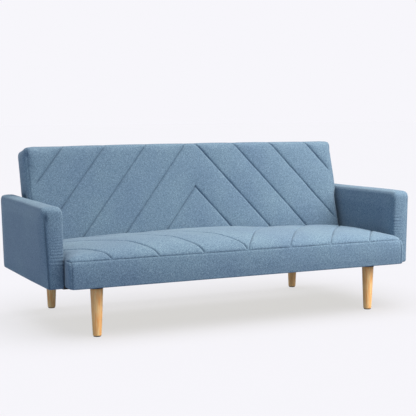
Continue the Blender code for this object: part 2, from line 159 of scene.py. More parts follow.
class FutonColours(bpy.types.PropertyGroup):
    """Colours of the finishes, as sRGB hex."""

    yarn: hex_colour("Yarn", "Middle tone of the heathered yarn", "#6C889F")
    yarn_dark: hex_colour("Dark yarn", "Darkest threads of the heather", "#506C86")
    yarn_light: hex_colour("Light yarn", "Lightest threads of the heather", "#8DA6BB")
    # painted shade: this dark colour is mixed into the yarn where the crease attribute marks a fold or
    # seam, standing in for the shade that falls there
    fold_painted_shade: hex_colour("Fold", "Yarn in the bottom of a sewn fold", "#3A5068")
    beech: hex_colour("Beech", "Lacquered beech between its grain lines", "#FFD898")
    beech_grain: hex_colour("Beech grain", "Darker grain lines of the beech", "#F2A65A")
    pine: hex_colour("Pine", "Sawn pine of the inner frame", "#D6B27C")
    pine_grain: hex_colour("Pine grain", "Late wood of the sawn pine", "#B3834A")
    powder_coat: hex_colour("Powder coat", "Black coat of the steel base", "#1D1E20")
    zinc: hex_colour("Zinc", "Zinc plating of the hinges and bolts", "#B9BCBE")
    wire: hex_colour("Spring wire", "Oiled spring steel", "#4E4F52")
    lining: hex_colour("Lining", "Non-woven dust cover", "#1B1B1D")
    webbing: hex_colour("Webbing", "Elastic webbing", "#2B2B2E")
    nylon: hex_colour("Nylon", "Moulded glides", "#202124")
    studio: hex_colour("Studio", "Seamless studio paper", "#F7F6FB")


# Linear colours of the light from all round, from overhead and from the softbox
SKY_TINT = (0.75, 0.91, 1.06)
TOP_TINT = (1.0, 0.88, 0.73)
KEY_TINT = (1.0, 0.915, 0.80)


class FutonStudio(bpy.types.PropertyGroup):
    """Camera and light of the studio."""

    camera: point("Camera", "Where the camera stands", (-2.292, -4.833, 1.044))
    yaw: turn("Yaw", "Turn of the view to the right of straight on", 25.29)
    pitch: turn("Pitch", "Tilt of the view above level", -5.48)
    roll: turn("Roll", "Turn of the view about its own line", -0.2)
    lens: number("Lens", "Focal length in millimetres", 90.05)
    sky: number("Sky", "Strength of the even light from all round", 0.34)
    key: number("Key", "Watts of the softbox beyond the right front", 145.0)
    key_place: point("Key place", "Where the softbox hangs", (2.2, -1.9, 2.2))
    top: number("Top", "Strength of the soft light from overhead", 4.05)
    bounce: number("Bounce", "Share of the floor's own brightness that lights the sofa", 0.37)
    paper_glow: number("Paper glow", "Share of the floor's brightness that no shadow takes", 0.71)


# Mesh work


def add_object(name, mesh):
    made = bpy.data.objects.new(name, mesh)
    bpy.context.scene.collection.objects.link(made)
    return made


def ring(low, high, radii, steps=5):
    """A rectangle with its own radius at each corner: low-low, high-low, high-high, low-high."""
    (a0, b0), (a1, b1) = low, high
    signs = ((1, 1), (-1, 1), (-1, -1), (1, -1))
    corners = ((a0, b0), (a1, b0), (a1, b1), (a0, b1))
    points = []
    for i, ((a, b), (sa, sb), radius) in enumerate(zip(corners, signs, radii)):
        for k in range(steps + 1):
            angle = math.radians(180 + 90 * i + 90 * k / steps)
            reach = radius * math.cos(angle), radius * math.sin(angle)
            points.append((a + sa * radius + reach[0], b + sb * radius + reach[1]))
    return points


def skinned(name, rings):
    """A closed form skinned over rings of equal point counts, with filled ends."""
    count = len(rings[0])
    faces = []
    for i in range(len(rings) - 1):
        a, b = i * count, (i + 1) * count
        faces += [(a + j, a + (j + 1) % count, b + (j + 1) % count, b + j) for j in range(count)]
    faces.append(tuple(reversed(range(count))))
    faces.append(tuple(range((len(rings) - 1) * count, len(rings) * count)))
    mesh = bpy.data.meshes.new(name)
    mesh.from_pydata([p for r in rings for p in r], [], faces)
    tidy = bmesh.new()
    tidy.from_mesh(mesh)
    bmesh.ops.recalc_face_normals(tidy, faces=tidy.faces)
    tidy.to_mesh(mesh)
    tidy.free()
    mesh.shade_smooth()
    return add_object(name, mesh)


def rows_of(items, field):
    """A field of three numbers, read from every item into the rows of an array."""
    found = np.empty(len(items) * 3)
    items.foreach_get(field, found)
    return found.reshape(-1, 3)


def places(mesh):
    """A mesh's points as an array."""
    return rows_of(mesh.vertices, "co")


def facing(mesh):
    """The outward direction at each point."""
    return rows_of(mesh.vertices, "normal")


def move_to(mesh, points):
    mesh.vertices.foreach_set("co", np.ascontiguousarray(points, dtype=np.float32).ravel())
    mesh.update()


def apply_modifiers(piece):
    """Replaces a piece's mesh by what its modifiers make of it."""
    graph = bpy.context.evaluated_depsgraph_get()
    mesh = bpy.data.meshes.new_from_object(piece.evaluated_get(graph))
    piece.modifiers.clear()
    piece.data = mesh
    mesh.shade_smooth()


def voxel_remesh(piece, size):
    step = piece.modifiers.new("Remesh", "REMESH")
    step.mode = "VOXEL"
    step.voxel_size = size
    apply_modifiers(piece)


def subdivide(piece):
    step = piece.modifiers.new("Subdivision", "SUBSURF")
    step.levels = step.render_levels = 1
    apply_modifiers(piece)


# A stiff cover that is blown up until it settles
CLOTH_FRAMES = 20
CLOTH = {
    "quality": 4,
    "mass": 0.3,
    "tension_stiffness": 20,
    "compression_stiffness": 20,
    "bending_stiffness": 0.6,
    "use_pressure": True,
    "vertex_group_mass": "held",
}


def inflate(piece, held, most):
    """Swells a cover by cloth under pressure. held is 1 where it is sewn down, 0 where free."""
    scene = bpy.context.scene
    group = piece.vertex_groups.new(name="held")
    for i in np.nonzero(held > 0)[0]:
        group.add([int(i)], float(held[i]), "REPLACE")
    cloth = piece.modifiers.new("Cloth", "CLOTH")
    for name, value in CLOTH.items():
        setattr(cloth.settings, name, value)
    cloth.settings.uniform_pressure_force = bpy.context.scene.futon_padding.pressure
    cloth.settings.effector_weights.gravity = 0
    cloth.point_cache.frame_start = 1
    cloth.point_cache.frame_end = CLOTH_FRAMES
    for f in range(1, CLOTH_FRAMES + 1):
        scene.frame_set(f)
    before = places(piece.data)
    apply_modifiers(piece)
    after = places(piece.data)
    step = after - before
    far = np.linalg.norm(step, axis=1, keepdims=True)
    move_to(piece.data, before + step * np.minimum(1.0, most / np.maximum(far, 1e-9)))
    piece.vertex_groups.clear()
    scene.frame_set(1)


def smooth(x, low, high):
    """0 below low, 1 above high, and a soft step between."""
    t = np.clip((x - low) / (high - low), 0, 1)
    return t * t * (3 - 2 * t)


def bell(x, width):
    """1 at 0, falling softly to nothing about two widths away."""
    return np.exp(-((x / width) ** 2))


def soft_noise(points, size, seed):
    """An even random field between about -1 and 1 that changes over the given size."""
    rng = np.random.default_rng(seed)
    total = np.zeros(len(points))
    waves = 9
    for _ in range(waves):
        way = rng.normal(size=3)
        way *= rng.uniform(0.6, 1.5) / (np.linalg.norm(way) * size) * 2
        total += np.sin(points @ way + rng.uniform(0, 2 * math.pi))
    return total / math.sqrt(waves)


def valley(distance, width):
    """Depth share of a sewn line: a sharp crease with soft shoulders."""
    return np.exp(-((np.abs(distance) / width) ** 1.3))


def cut_rows(piece, jobs):
    """Cuts rows of points along planes and beside them.

    Each job is (point, unit normal, offsets, near), and near says which face centres it may cut.
    """
    centres = rows_of(piece.data.polygons, "center")
    work = bmesh.new()
    work.from_mesh(piece.data)
    work.faces.ensure_lookup_table()
    faces = list(work.faces)
    for point, normal, offsets, near in jobs:
        reach = max(abs(o) for o in offsets) + 0.012
        close = np.abs((centres - point) @ np.array(normal)) < reach
        chosen = [faces[i] for i in np.nonzero(close & near(centres))[0]]
        edges = {e for f in chosen for e in f.edges}
        points = {v for f in chosen for v in f.verts}
        geometry = chosen + list(edges) + list(points)
        for offset in offsets:
            cut = bmesh.ops.bisect_plane(
                work,
                geom=geometry,
                dist=1e-5,
                plane_co=Vector(point) + Vector(normal) * offset,
                plane_no=normal,
            )
            geometry = cut["geom"]
    work.to_mesh(piece.data)
    work.free()


# Where rows of points run beside a channel and a seam, and how wide the painted shade of a fold is
CHANNEL_ROWS = (0, -0.003, 0.003, -0.008, 0.008)
SEAM_ROWS = (0, -0.0025, 0.0025)
PAINTED_FOLD_WIDTH = 0.0019


def sink(piece, depth):
    """Moves each point in along its own normal."""
    points, out = places(piece.data), facing(piece.data)
    move_to(piece.data, points - out * depth[:, None])


def crease(piece, amount):
    """Leaves on each point how much painted shade it gets for lying in a fold, for the fabric to
    darken its colour by.
    """
    # painted shade: the fabric mixes its yarn towards the dark fold colour by this amount
    made = piece.data.attributes.new("crease", "FLOAT", "POINT")
    made.data.foreach_set("value", np.clip(amount, 0, 1).astype(np.float32))


def finish_piece(piece, body, slot, finish, *replaced):
    """Gives a piece its material, puts it under its body's empty, and hides the nodes it replaces."""
    piece.data.materials.clear()
    piece.data.materials.append(finish)
    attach(piece, body)
    if replaced:
        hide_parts(*replaced)
    return piece


# Materials


def linear(colour):
    """Linear RGBA of an sRGB hex colour."""
    parts = [int(colour.lstrip("#")[i : i + 2], 16) / 255 for i in (0, 2, 4)]
    return [p / 12.92 if p <= 0.04045 else ((p + 0.055) / 1.055) ** 2.4 for p in parts] + [1.0]


def add(tree, kind, values=None, links=None, **settings):
    """Adds a node with its settings, input values and links."""
    made = tree.nodes.new("ShaderNode" + kind)
    for name, value in settings.items():
        setattr(made, name, value)
    for socket, value in (values or {}).items():
        made.inputs[socket].default_value = value
    for socket, output in (links or {}).items():
        tree.links.new(output, made.inputs[socket])
    return made


def new_material(name, **sockets):
    """An empty Principled material: (material, node tree, shader)."""
    made = bpy.data.materials.new(name)
    made.use_nodes = True
    shader = made.node_tree.nodes["Principled BSDF"]
    for socket, value in sockets.items():
        shader.inputs[socket.replace("_", " ")].default_value = value
    return made, made.node_tree, shader


def stretched_noise(tree, size, **settings):
    """Noise whose grains have the given size in metres along X, Y and Z of the piece."""
    place = add(tree, "TexCoord").outputs["Object"]
    scaled = add(tree, "Mapping", {"Scale": [1 / s for s in size]}, {"Vector": place})
    values = {"Scale": 1.0, "Detail": 2.0, "Roughness": 0.55, **settings}
    return add(tree, "TexNoise", values, {"Vector": scaled.outputs["Vector"]}).outputs["Fac"]


def remap(tree, value, low, high, to_low=0.0, to_high=1.0):
    values = {"From Min": low, "From Max": high, "To Min": to_low, "To Max": to_high}
    return add(tree, "MapRange", values, {"Value": value}).outputs["Result"]


def mix_colour(tree, share, a, b, blend="MIX"):
    """Mixes two colours; each may be a hex colour or another node's output."""
    made = add(tree, "Mix", data_type="RGBA", blend_type=blend)
    for index, given in ((6, a), (7, b)):
        if isinstance(given, str):
            made.inputs[index].default_value = linear(given)
        else:
            tree.links.new(given, made.inputs[index])
    if isinstance(share, float):
        made.inputs[0].default_value = share
    else:
        tree.links.new(share, made.inputs[0])
    return made.outputs[2]


def bump(tree, shader, height, distance, strength=1.0):
    made = add(tree, "Bump", {"Distance": distance, "Strength": strength}, {"Height": height})
    tree.links.new(made.outputs["Normal"], shader.inputs["Normal"])


def average(tree, a, b):
    total = add(tree, "Math", operation="ADD", links={0: a, 1: b})
    return add(tree, "Math", {1: 0.5}, {0: total.outputs[0]}, operation="MULTIPLY").outputs[0]


def linen_weave(across_arm):
    """Heathered linen-look polyester, plain-woven from slubby mixed yarn.

    The eye gets a soft matt blue-grey with short lighter and darker streaks both ways and a little
    fibre sheen at glancing angles. Its 0.8 mm threads are drawn 2.2 mm wide, so that they show.
    """
    colours = bpy.context.scene.futon_colours
    made, tree, shader = new_material(
        "linen_weave_arm" if across_arm else "linen_weave_long",
        Roughness=0.92, Sheen_Weight=0.24, Sheen_Roughness=0.5, Specular_IOR_Level=0.15,
    )
    thread, slub = 2.2 * MM, 11 * MM
    one_way = (thread, slub, thread) if across_arm else (slub, thread, thread)
    other_way = (thread, thread, slub) if across_arm else (thread, slub, slub)
    warp = stretched_noise(tree, one_way)
    weft = stretched_noise(tree, other_way)
    heather = remap(tree, average(tree, warp, weft), 0.40, 0.60)
    tone = mix_colour(tree, heather, colours.yarn_dark, colours.yarn_light)
    fleck = remap(tree, stretched_noise(tree, (2.6 * MM, 2.6 * MM, 2.6 * MM)), 0.40, 0.60)
    tone = mix_colour(tree, 0.55, tone, colours.yarn)
    shade = mix_colour(tree, fleck, "#BFC5CE", "#FFFFFF")
    tone = mix_colour(tree, 1.0, tone, shade, "MULTIPLY")
    dye = remap(tree, stretched_noise(tree, (0.25, 0.25, 0.25)), 0.35, 0.65)
    cloud = mix_colour(tree, dye, "#F1F2F8", "#FFFFFF")
    tone = mix_colour(tree, 1.0, tone, cloud, "MULTIPLY")
    # painted shade: the crease attribute mixes the yarn towards the dark fold colour in channels and
    # seams, whatever the light
    fold_painted_shade = add(tree, "Attribute", attribute_name="crease").outputs["Fac"]
    tree.links.new(mix_colour(tree, fold_painted_shade, tone, colours.fold_painted_shade), shader.inputs["Base Color"])
    shader.inputs["Sheen Tint"].default_value = linear("#C9D8E6")
    bump(tree, shader, average(tree, warp, weft), 0.9 * MM, 0.55)
    return made


def lacquered_beech():
    """Turned beech under clear satin lacquer.

    The eye gets a warm light wood with fine upright grain, short dark rays and a soft highlight.
    """
    colours = bpy.context.scene.futon_colours
    made, tree, shader = new_material(
        "lacquered_beech", Roughness=0.42, Coat_Weight=0.25, Coat_Roughness=0.25
    )
    grain = remap(tree, stretched_noise(tree, (5 * MM, 5 * MM, 110 * MM), Detail=4.0), 0.36, 0.64)
    ray = remap(tree, stretched_noise(tree, (1.6 * MM, 1.6 * MM, 14 * MM)), 0.56, 0.72)
    tone = mix_colour(tree, grain, colours.beech_grain, colours.beech)
    rays = add(tree, "Math", {1: 0.35}, {0: ray}, operation="MULTIPLY").outputs[0]
    tree.links.new(mix_colour(tree, rays, tone, colours.beech_grain), shader.inputs["Base Color"])
    rough = remap(tree, grain, 0.0, 1.0, 0.48, 0.38)
    tree.links.new(rough, shader.inputs["Roughness"])
    bump(tree, shader, ray, 0.15 * MM, 0.4)
    return made


def sawn_pine(along):
    """Sawn pine left bare: the eye gets pale wood with wide late-wood bands and saw marks."""
    colours = bpy.context.scene.futon_colours
    made, tree, shader = new_material("sawn_pine_" + "xyz"[along], Roughness=0.78)
    size = [9 * MM] * 3
    size[along] = 300 * MM
    grain = remap(tree, stretched_noise(tree, size, Detail=3.0), 0.38, 0.62)
    tree.links.new(
        mix_colour(tree, grain, colours.pine_grain, colours.pine), shader.inputs["Base Color"]
    )
    marks = [3 * MM] * 3
    marks[along] = 2 * MM
    bump(tree, shader, stretched_noise(tree, marks), 0.3 * MM, 0.5)
    return made


def mottled(name, tones, size, rough, height, strength):
    """A finish whose grain mixes two tones and lifts the surface: (material, shader, grain)."""
    made, tree, shader = new_material(name, Roughness=rough)
    grain = stretched_noise(tree, size)
    tree.links.new(mix_colour(tree, grain, *tones), shader.inputs["Base Color"])
    bump(tree, shader, grain, height, strength)
    return made, shader, grain


def powder_coat():
    """Black powder-coated steel: the eye gets a satin black with a fine orange-peel texture."""
    tones = bpy.context.scene.futon_colours.powder_coat, "#2A2B2E"
    made, shader, peel = mottled("powder_coated_steel", tones, [1.5 * MM] * 3, 0.5, 0.12 * MM, 0.5)
    rough = remap(made.node_tree, peel, 0.3, 0.7, 0.42, 0.58)
    made.node_tree.links.new(rough, shader.inputs["Roughness"])
    return made


def metal(name, colour, grain_size, low, high):
    """A bare metal whose roughness changes over its grain."""
    made, tree, shader = new_material(name, Metallic=1.0)
    shader.inputs["Base Color"].default_value = linear(colour)
    grain = stretched_noise(tree, grain_size)
    tree.links.new(remap(tree, grain, 0.3, 0.7, low, high), shader.inputs["Roughness"])
    bump(tree, shader, grain, 0.05 * MM, 0.3)
    return made


def zinc_plate():
    """Zinc-plated stamped steel: the eye gets a cool grey metal with a faint cloudy bloom."""
    colours = bpy.context.scene.futon_colours
    return metal("zinc_plated_steel", colours.zinc, (6 * MM, 6 * MM, 6 * MM), 0.28, 0.42)


def spring_wire():
    """Oil-tempered spring wire: the eye gets a dark, fairly glossy drawn steel."""
    colours = bpy.context.scene.futon_colours
    return metal("oiled_spring_steel", colours.wire, (2 * MM, 12 * MM, 2 * MM), 0.3, 0.45)


def spun_lining():
    """Non-woven polypropylene: the eye gets a flat black felt with a fine embossed dimple."""
    tones = bpy.context.scene.futon_colours.lining, "#2C2C2F"
    return mottled("non_woven_lining", tones, [3 * MM] * 3, 0.95, 0.3 * MM, 0.6)[0]


def elastic_webbing():
    """Woven elastic webbing: the eye gets black cord with ribs 4 mm apart across its length."""
    tones = bpy.context.scene.futon_colours.webbing, "#4A4A4F"
    ribs = (60 * MM, 4 * MM, 4 * MM)
    return mottled("elastic_webbing", tones, ribs, 0.85, 0.4 * MM, 0.6)[0]


def moulded_nylon():
    """Moulded nylon: the eye gets a matt black plastic with a faint moulded grain."""
    tones = bpy.context.scene.futon_colours.nylon, "#2E2F33"
    return mottled("moulded_nylon", tones, [1 * MM] * 3, 0.5, 0.08 * MM, 0.4)[0]


def shared(name, maker, *given):
    """One material of each name, made when first asked for."""
    return bpy.data.materials.get(name) or maker(*given)


# Channels


def chevrons(pitch, count):
    """Channel lines |x| = slope * run + offset on both sides, as (side, offset) pairs."""
    return [(side, pitch * k) for k in range(count) for side in (-1, 1)]


def channel_distance(x, run, slope, side, offset):
    """Distance across the cover from a channel, and the place along it."""
    stretch = math.hypot(1, slope)
    across = (x * side - slope * run - offset) / stretch
    along = (x * side * slope + run) / stretch
    return across, along


def stitched_valley(across, along, padding, seed):
    """Depth of one channel: a crease that varies a little, with small puckers beside it."""
    rng = np.random.default_rng(seed)
    phase = rng.uniform(0, 2 * math.pi, 3)
    wander = 0.12 * np.sin(along * 31 + phase[0]) + 0.08 * np.sin(along * 73 + phase[1])
    crease = padding.channel_depth * (1 + wander) * valley(across, padding.channel_width)
    shoulder = 0.0006 * np.sin(along * 2 * math.pi / 0.021 + phase[2] + 3 * wander)
    return crease + shoulder * np.exp(-np.abs(across) / 0.010) * (1 - valley(across, 0.002))


def filled(cushion, rise):
    """A cushion's cover, remeshed, stuffed and swollen."""
    piece = cushion.form()
    voxel_remesh(piece, bpy.context.scene.futon_padding.voxel)
    points = places(piece.data)
    cushion.stuff(points)
    move_to(piece.data, points)
    inflate(piece, cushion.held(points), rise)
    return piece


def on_channels(cushion, x, run):
    """Which points lie on a cushion's channels."""
    found = np.zeros(len(x), bool)
    for side, offset in cushion.lines():
        across, _ = channel_distance(x, run, cushion.slope, side, offset)
        found |= (np.abs(across) < 0.006) & (x * side > -0.004)
    return found


def sewn_channels(cushion, x, run, face, seed):
    """Depth and painted fold shade of a cushion's channels. face is 1 where its face is, 0 elsewhere.
    """
    padding = bpy.context.scene.futon_padding
    depth, fold_painted_shade = np.zeros(len(x)), np.zeros(len(x))
    for i, (side, offset) in enumerate(cushion.lines()):
        across, along = channel_distance(x, run, cushion.slope, side, offset)
        here = face * (x * side > -0.002)
        depth += stitched_valley(across, along, padding, seed + i) * here
        # painted shade along the bottom of each channel
        fold_painted_shade = np.maximum(fold_painted_shade, padding.painted_fold_darkening * valley(across, PAINTED_FOLD_WIDTH) * here)
    return depth, fold_painted_shade


def channel_cuts(cushion, start, down, on_face):
    """Cuts along a cushion's channels: from the first chevron's point, widening down its face."""
    stretch = math.hypot(1, cushion.slope)
    jobs = []
    for side, offset in cushion.lines():
        point = (start[0] + side * offset, start[1], start[2])
        normal = tuple((side * (k == 0) - cushion.slope * down[k]) / stretch for k in range(3))

        def near(c, side=side):
            return on_face(c) & ((c[:, 0] - start[0]) * side > -0.006)

        jobs.append((point, normal, CHANNEL_ROWS, near))
    return jobs


# Operators


class FUTON_OT_seat(bpy.types.Operator):
    """Makes the seat cushion with its boxing, seams and chevron channels"""

    bl_idname = "futon.seat"
    bl_label = "Seat Cushion"

    nose = 0.052  # radius of the front's upper edge
    slope = 0.728  # how far a channel runs outward for each metre back
    corner = 0.003  # from the seat's end to the seam down its front corner
    front_fall, rear_fall = 0.68, 0.52  # shares of the crown that the front and rear edges lack
    end_fall = 0.011, 0.015  # how far the left and right ends of the top are rounded down
    stand_out = 0.007, 0.016  # how far the left and right ends reach out in front of the arms
    pucker, pucker_pitch = 0.0007, 0.017  # height and spacing of the puckers along the front seam

    def execute(self, context):
        padding = context.scene.futon_padding
        piece = filled(self, padding.seat_rise)
        subdivide(piece)
        self.open_underside(piece)
        self.cut(piece)
        self.sew(piece, padding)
        fabric = shared("linen_weave_long", linen_weave, False)
        finish_piece(piece, "base", "fabric", fabric, *SEAT_NODES)
        return {"FINISHED"}

    def form(self):
        """The sewn cover before it is filled, a little smaller than it will be."""
        edge = [v.co.z for v in NODES["seat_pad"].data.vertices if abs(v.co.x) > SEAT_HIGH.x - 1e-4]
        top = max(edge) - bpy.context.scene.futon_padding.seat_rise * 0.6
        rings = []
        for x, inset in rounded_ends(SEAT_HIGH.x + 0.002, 0.013):
            low = (SEAT_LOW.y + 0.001 + inset, SEAT_LOW.z + inset * 0.1)
            high = (SEAT_HIGH.y + 0.004 - inset, top - inset)
            section = ring(low, high, (0.006, 0.006, 0.018, self.nose), 8)
            rings.append(section_at(x, section))
        return skinned("seat_cushion", rings)

    def stuff(self, points):
        """Crowns the pad over its middle, rounds its ends, and lets them reach past the arms."""
        x, y, z = points.T
        right = x > 0
        settled = 1 - 0.3 * smooth(x, 0.0, 0.45)
        crown = bpy.context.scene.futon_padding.seat_crown * (1 - np.abs(x / SEAT_HIGH.x) ** 3.6)
        nose = smooth(-y, -SEAT_LOW.y - 0.16, -SEAT_LOW.y)
        rear = smooth(y, -0.18, SEAT_HIGH.y)
        rise = crown * settled * smooth(z, 0.30, 0.38)
        points[:, 2] += rise * (1 - self.front_fall * nose) * (1 - self.rear_fall * rear)
        shoulder = smooth(np.abs(x), SEAT_HIGH.x - 0.045, SEAT_HIGH.x) ** 2
        points[:, 2] -= np.where(right, *self.end_fall[::-1]) * shoulder * smooth(z, 0.33, 0.385)
        flare = smooth(np.abs(x), SEAT_HIGH.x - 0.04, SEAT_HIGH.x) * smooth(-y, 0.356, 0.372)
        hem = smooth(z, SEAT_LOW.z - 0.006, SEAT_LOW.z + np.where(right, 0.006, 0.03))
        points[:, 0] += np.where(right, *self.stand_out[::-1]) * np.sign(x) * flare * hem

    def open_underside(self, piece):
        """Draws the underside up behind its hem, so that the rails and dust cover show below."""
        points = places(piece.data)
        x, y, z = points.T
        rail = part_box("seat_side_rail_left")
        behind_hem = (np.abs(x) < -rail[0].x - 0.001) & (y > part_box("seat_front_rail")[0].y + 0.001)
        beside_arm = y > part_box("arm_band_left")[0].y + 0.002
        lift = (behind_hem | beside_arm) & (z < rail[0].z + 0.012)
        points[lift, 2] = np.maximum(z[lift], rail[0].z + 0.003)
        move_to(piece.data, points)

    def held(self, points):
        """1 where the cover is stapled or sewn down, and 0 where the filling lifts it."""
        x, y, z = points.T
        hold = np.zeros(len(points))
        hold[z < SEAT_LOW.z + 0.018] = 1
        hold[(np.abs(x) > SEAT_HIGH.x - 0.006) & (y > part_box("arm_band_left")[0].y)] = 1
        hold[(y < SEAT_LOW.y + 0.06) & (np.abs(z - self.seam_z()) < 0.006)] = 1
        hold[y > SEAT_HIGH.y - 0.004] = 0.8
        hold[on_channels(self, x, y - SEAT_LOW.y) & (z > 0.37)] = 0.85
        return hold

    def seam_z(self):
        """Height of the boxing seam along the seat's front."""
        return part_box("seat_front_band")[1].z

    def lines(self):
        return chevrons(bpy.context.scene.futon_padding.pitch + 0.004, 4)

    def cut(self, piece):
        """Gives every channel and seam its own rows of points."""
        jobs = channel_cuts(self, (0, SEAT_LOW.y, 0), (0, 1, 0), lambda c: c[:, 2] > 0.355)
        seam = (0, 0, self.seam_z())
        jobs.append((seam, (0, 0, 1), SEAM_ROWS, lambda c: c[:, 1] < SEAT_LOW.y + 0.08))
        for side in (-1, 1):
            end = (side * (SEAT_HIGH.x - self.corner), 0, 0)
            jobs.append((end, (side, 0, 0), SEAM_ROWS, lambda c: c[:, 1] < SEAT_LOW.y + 0.03))
        cut_rows(piece, jobs)

    def sew(self, piece, padding):
        """Sinks the channels and seams, and leaves the cover a little uneven."""
        points, out = places(piece.data), facing(piece.data)
        x, y, z = points.T
        depth = padding.wrinkle * soft_noise(points, 0.09, 3) * 0.6
        depth += padding.wrinkle * soft_noise(points * (1, 2.4, 2.4), 0.05, 4) * 0.3
        depth *= smooth(z, SEAT_LOW.z + 0.01, SEAT_LOW.z + 0.04)
        seam_z = self.seam_z()
        on_top = smooth(z, seam_z + 0.001, seam_z + 0.010) * smooth(out[:, 2], 0.0, 0.2)
        channels, fold_painted_shade = sewn_channels(self, x, y - SEAT_LOW.y, on_top, 20)
        depth += channels
        front = smooth(-y, -SEAT_LOW.y - 0.09, -SEAT_LOW.y - 0.06)
        depth += padding.seam_depth * valley(z - seam_z, padding.seam_width) * front
        pucker = self.pucker * np.sin(x * 2 * math.pi / self.pucker_pitch + 2 * np.sin(x * 23))
        depth += pucker * np.exp(-np.abs(z - seam_z) / 0.010) * front
        corner = np.abs(x) - (SEAT_HIGH.x - self.corner)
        on_front = (out[:, 1] < -0.3) & (z < seam_z)
        depth += padding.seam_depth * valley(corner, padding.seam_width) * on_front
        # painted shade along the front seam and the front corner seams, added to the channels' painted
        # shade
        shade = np.maximum(valley(z - seam_z, 0.0022) * front, valley(corner, 0.002) * on_front)
        crease(piece, np.maximum(fold_painted_shade, 0.6 * padding.painted_fold_darkening * shade))
        sink(piece, depth)


def section_at(x, section):
    """A section of the piece, stood at its place along X."""
    return [(x, y, z) for y, z in section]


def rounded_ends(half, radius, steps=5):
    """Stations along X, each with how far its section draws in: round at both ends."""
    stations = []
    for i in range(steps + 1):
        angle = math.pi / 2 * i / steps
        stations.append((-half + radius * (1 - math.sin(angle)), radius * (1 - math.cos(angle))))
    stations.reverse()
    stations += [(-half + radius + (half - radius) * k / 4, 0.0) for k in range(1, 4)]
    return stations + [(0.0, 0.0)] + [(-x, inset) for x, inset in reversed(stations)]


